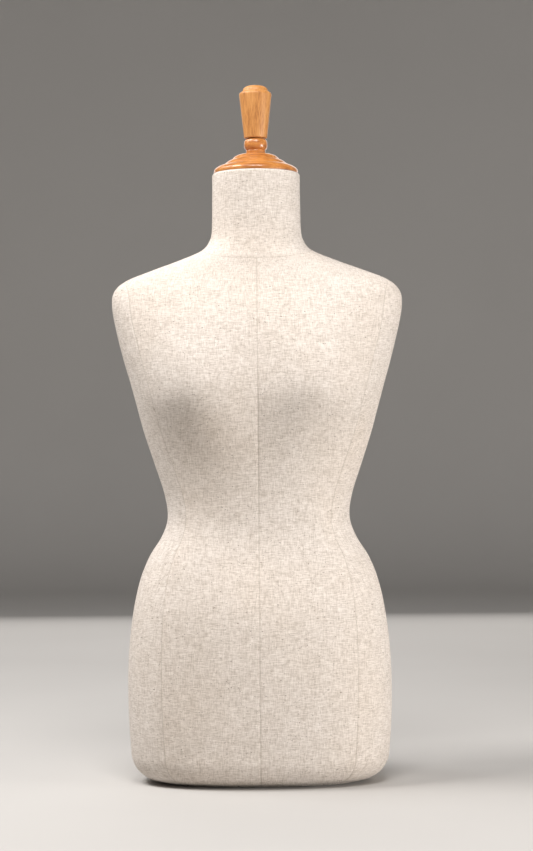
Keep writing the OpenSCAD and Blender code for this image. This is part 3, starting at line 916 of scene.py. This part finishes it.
def make_base_cover(material):
    """Card wrapped in linen, with a round opening for the pole and dimples for the tacks."""
    angles = np.linspace(0, 2 * math.pi, COVER_COLUMNS, endpoint=False)
    opening = COVER_OPENING_R * np.stack([np.cos(angles), np.sin(angles)], axis=-1)
    across = foot(COVER_INSET, angles) - opening
    outward = across / np.linalg.norm(across, axis=-1, keepdims=True)
    edge_r = COVER_T / 2
    shares = np.linspace(0, 1, COVER_ROWS + 1)[1:-1]
    rolls = np.radians(np.linspace(-90, 90, 7))
    rim = [(1, edge_r * (math.cos(a) - 1), edge_r * (1 + math.sin(a))) for a in rolls]
    lip = [(0, edge_r * (1 - math.cos(a)), edge_r * (1 - math.sin(a))) for a in rolls]
    rings = [(t, 0, 0) for t in shares] + rim + [(t, 0, COVER_T) for t in shares[::-1]] + lip
    tacks = foot(TACK_INSET, 2 * math.pi * (np.arange(TACK_COUNT) + 0.5) / TACK_COUNT)
    points = []
    for share, grow, z in rings:
        for x, y in opening + share * across + grow * outward:
            away = np.hypot(*(tacks - (x, y)).T).min()
            pressed = TACK_HEAD_T * min(1, max(0, TACK_HEAD_R + DIMPLE_EDGE - away)) * (z == 0)
            wrinkle = COVER_WRINKLE * noise.noise(Vector((x, y, z)) / WRINKLE_LENGTH) * (z < COVER_T)
            points.append((x, y, z + pressed + max(0, wrinkle)))
    piece = make_object("base_cover_linen", points, ring_faces(len(rings), COVER_COLUMNS, True), 50)
    set_cloth_uv(piece, np.array(points)[:, :2] * MM)
    seam = piece.data.attributes.new("seam", "FLOAT", "POINT")
    seam.data.foreach_set("value", np.full(len(points), NO_SEAM, np.float32))
    piece.data.materials.append(material)
    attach(piece, "torso")
    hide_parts("base_cover")


def repaint_cad_nodes(materials):
    """CAD nodes whose shape is right keep it, with a finished material."""
    for name, slot in CARRIED_OVER.items():
        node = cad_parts[name]
        node.data.materials.clear()
        node.data.materials.append(materials[slot])


CARRIED_OVER = {
    "neck_block": "plywood", "stud_insert": "brass", "neck_staples": "steel",
    "base_board": "plywood", "pole_socket": "steel", "socket_screws": "steel",
    "hem_staples": "steel", "cover_tacks": "brass",
}


# ---- Stage, lights and camera ----

def make_stage(material):
    """A round pale floor that curves up into a backdrop on every side."""
    floor_r, curve_r, wall_h, thickness = 3900, 900, 3600, 50
    wall_r = floor_r + curve_r
    profile = [(0, 0), (floor_r, 0)]
    profile += bend((floor_r, 0), (wall_r, 0), (wall_r, curve_r), 16)
    profile += [(wall_r, wall_h), (wall_r + thickness, wall_h)]
    profile += [(wall_r + thickness, -thickness), (0, -thickness)]
    floor = revolve("stage", profile)
    floor.data.materials.append(material)


def soft_light(name, place, target, size, watts, colour):
    """A rectangular softbox aimed at a target."""
    data = bpy.data.lights.new(name, "AREA")
    data.shape = "RECTANGLE"
    data.size, data.size_y = size
    data.energy = watts
    data.color = colour
    light = bpy.data.objects.new(name, data)
    light.location = place
    aim = Vector(target) - Vector(place)
    light.rotation_euler = aim.to_track_quat("-Z", "Y").to_euler()
    bpy.context.scene.collection.objects.link(light)


def make_lights():
    warm, cool = (1.0, 0.972, 0.952), (0.98, 0.985, 1.0)
    soft_light("key", (0, -1.5, 2.4), (0, 0, 0.6), (1.2, 0.8), 45, warm)
    soft_light("top_left", (-1.5, -0.5, 2.7), (0, 0, 0.4), (0.9, 0.9), 62, warm)
    soft_light("low_right", (1.9, -0.9, 0.35), (0, 0, 0.25), (0.8, 0.6), 30, warm)
    soft_light("rim_left", (-1.6, 0.4, 2.1), (0, 0, 0.45), (0.8, 0.8), 15, cool)
    soft_light("back", (0, 2.6, 1.2), (0, 0, 0.45), (3.0, 2.0), 26, warm)
    world = bpy.data.worlds.new("studio")
    world.use_nodes = True
    background = world.node_tree.nodes["Background"]
    background.inputs["Color"].default_value = (0.9, 0.93, 1.0, 1)
    background.inputs["Strength"].default_value = 0.04
    bpy.context.scene.world = world


LENS = 91.24
SENSOR = 36
CAMERA_PLACE = (0, -2.8, 0.42)
YAW, PITCH, ROLL = -0.228, 0.805, -0.4641


def make_camera():
    """Level with the waist, looking very slightly up, as the form was photographed."""
    data = bpy.data.cameras.new("camera")
    data.sensor_width = SENSOR
    data.lens = LENS
    camera = bpy.data.objects.new("camera", data)
    yaw, pitch, roll = math.radians(YAW), math.radians(PITCH), math.radians(ROLL)
    turn = Matrix.Rotation(yaw, 4, "Z") @ Matrix.Rotation(math.pi / 2 + pitch, 4, "X")
    turn = turn @ Matrix.Rotation(roll, 4, "Z")
    camera.matrix_world = Matrix.Translation(CAMERA_PLACE) @ turn
    bpy.context.scene.collection.objects.link(camera)
    bpy.context.scene.camera = camera
    bpy.context.scene.view_settings.view_transform = "Standard"


make_camera()
materials = {
    "linen": linen_material(),
    "papier_mache": paper_material("papier_mache", (0.36, 0.27, 0.18), (0.20, 0.14, 0.09), 0.03),
    "kraft_paper": paper_material("kraft_paper", (0.50, 0.37, 0.22), (0.30, 0.20, 0.11), 0.3),
    "plywood": plywood_material(),
    "oiled_wood": oiled_wood_material(),
    "varnished_wood": varnished_wood_material(),
    "steel": metal_material("steel", (0.62, 0.62, 0.61), (0.46, 0.46, 0.45), 0.38),
    "brass": metal_material("brass", (0.80, 0.60, 0.28), (0.58, 0.40, 0.17), 0.34),
}
make_linen(materials["linen"])
make_shell(materials["papier_mache"], materials["kraft_paper"])
make_neck_cap(materials["varnished_wood"])
make_finial_bead(materials["varnished_wood"])
make_finial_grip(materials["oiled_wood"])
make_finial_stud(materials["steel"])
make_base_cover(materials["linen"])
repaint_cad_nodes(materials)
make_stage(stage_material())
make_lights()
